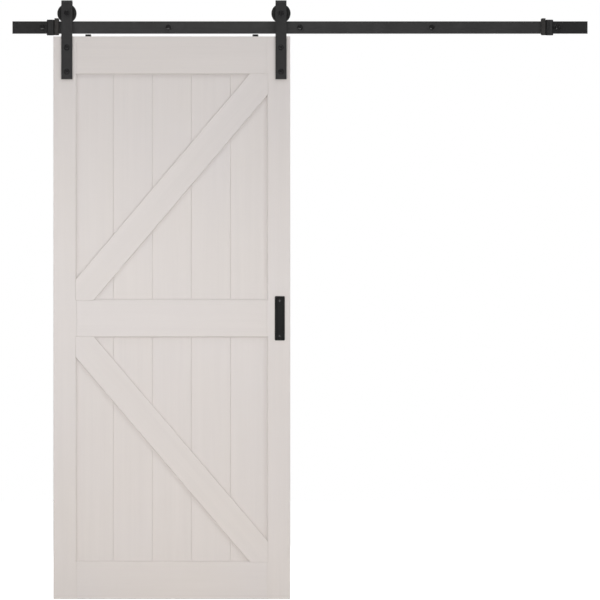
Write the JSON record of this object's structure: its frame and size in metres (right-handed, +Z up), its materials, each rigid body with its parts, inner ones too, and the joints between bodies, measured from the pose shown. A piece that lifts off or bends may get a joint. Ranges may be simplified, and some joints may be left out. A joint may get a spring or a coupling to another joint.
{
  "type": "sliding barn door",
  "caption": "Framed plank door with diagonal braces that hangs by strap hangers and grooved wheels from a flat wall-mounted rail with rubber end stops and a flush pull.",
  "frame": {"origin": "on the wall face behind the middle of the rail, at the back end of the middle spacer tube", "axes": "+X to the right along the rail seen from the front, +Y into the wall, +Z up; the door's front faces -Y"},
  "size_m": [2.182, 0.111, 2.2713],
  "materials": {
    "painted_frame": "warm off-white satin paint on wood",
    "painted_planks": "warm off-white satin paint on planks",
    "black_iron": "black powder coat on steel",
    "black_fasteners": "black coated steel",
    "zinc": "zinc plated steel",
    "bearing_steel": "ground bearing steel",
    "rubber": "dark grey rubber",
    "nylon": "black nylon"
  },
  "bodies": {
    "track": {"track_rail": "black_iron", "spacer_1": "black_iron", "spacer_2": "black_iron", "spacer_3": "black_iron", "spacer_4": "black_iron", "spacer_5": "black_iron", "lag_screws": "black_fasteners", "lag_washers": "black_fasteners", "stop_screws": "black_fasteners", "left_stop_clamp": "black_iron", "right_stop_clamp": "black_iron", "left_bumper": "rubber", "right_bumper": "rubber"},
    "door": {"left_stile": "painted_frame", "right_stile": "painted_frame", "top_rail": "painted_frame", "middle_rail": "painted_frame", "bottom_rail": "painted_frame", "upper_brace": "painted_frame", "lower_brace": "painted_frame", "upper_plank_1": "painted_planks", "upper_plank_2": "painted_planks", "upper_plank_3": "painted_planks", "upper_plank_4": "painted_planks", "upper_plank_5": "painted_planks", "lower_plank_1": "painted_planks", "lower_plank_2": "painted_planks", "lower_plank_3": "painted_planks", "lower_plank_4": "painted_planks", "lower_plank_5": "painted_planks", "left_hanger": "black_iron", "right_hanger": "black_iron", "left_axle_bolt": "black_fasteners", "right_axle_bolt": "black_fasteners", "axle_nuts": "zinc", "axle_sleeves": "zinc", "strap_bolts": "black_fasteners", "strap_washers": "black_fasteners", "sleeve_nuts": "zinc", "left_jump_disc": "nylon", "right_jump_disc": "nylon", "disc_screws": "zinc", "flush_pull": "black_iron", "pull_screws": "black_fasteners", "left_inner_ring": "bearing_steel", "right_inner_ring": "bearing_steel"},
    "left_wheel": {"left_wheel": "black_iron", "left_outer_ring": "bearing_steel", "left_ball_cage": "bearing_steel", "left_balls": "bearing_steel", "left_shields": "bearing_steel"},
    "right_wheel": {"right_wheel": "black_iron", "right_outer_ring": "bearing_steel", "right_ball_cage": "bearing_steel", "right_balls": "bearing_steel", "right_shields": "bearing_steel"}
  },
  "joints": [
    {"name": "door_slide", "type": "slide", "parent": "track", "child": "door", "axis": [1, 0, 0], "range_m": [0, 0.9562]},
    {"name": "left_wheel_spin", "type": "hinge", "parent": "door", "child": "left_wheel", "pos_m": [-0.8841, -0.035, 0.0535], "axis": [0, 1, 0], "continuous": true},
    {"name": "right_wheel_spin", "type": "hinge", "parent": "door", "child": "right_wheel", "pos_m": [-0.0721, -0.035, 0.0535], "axis": [0, 1, 0], "continuous": true}
  ],
  "couplings": [
    {"joint": "left_wheel_spin", "follows": "door_slide", "rad_per_m": 33.333},
    {"joint": "right_wheel_spin", "follows": "door_slide", "rad_per_m": 33.333}
  ]
}
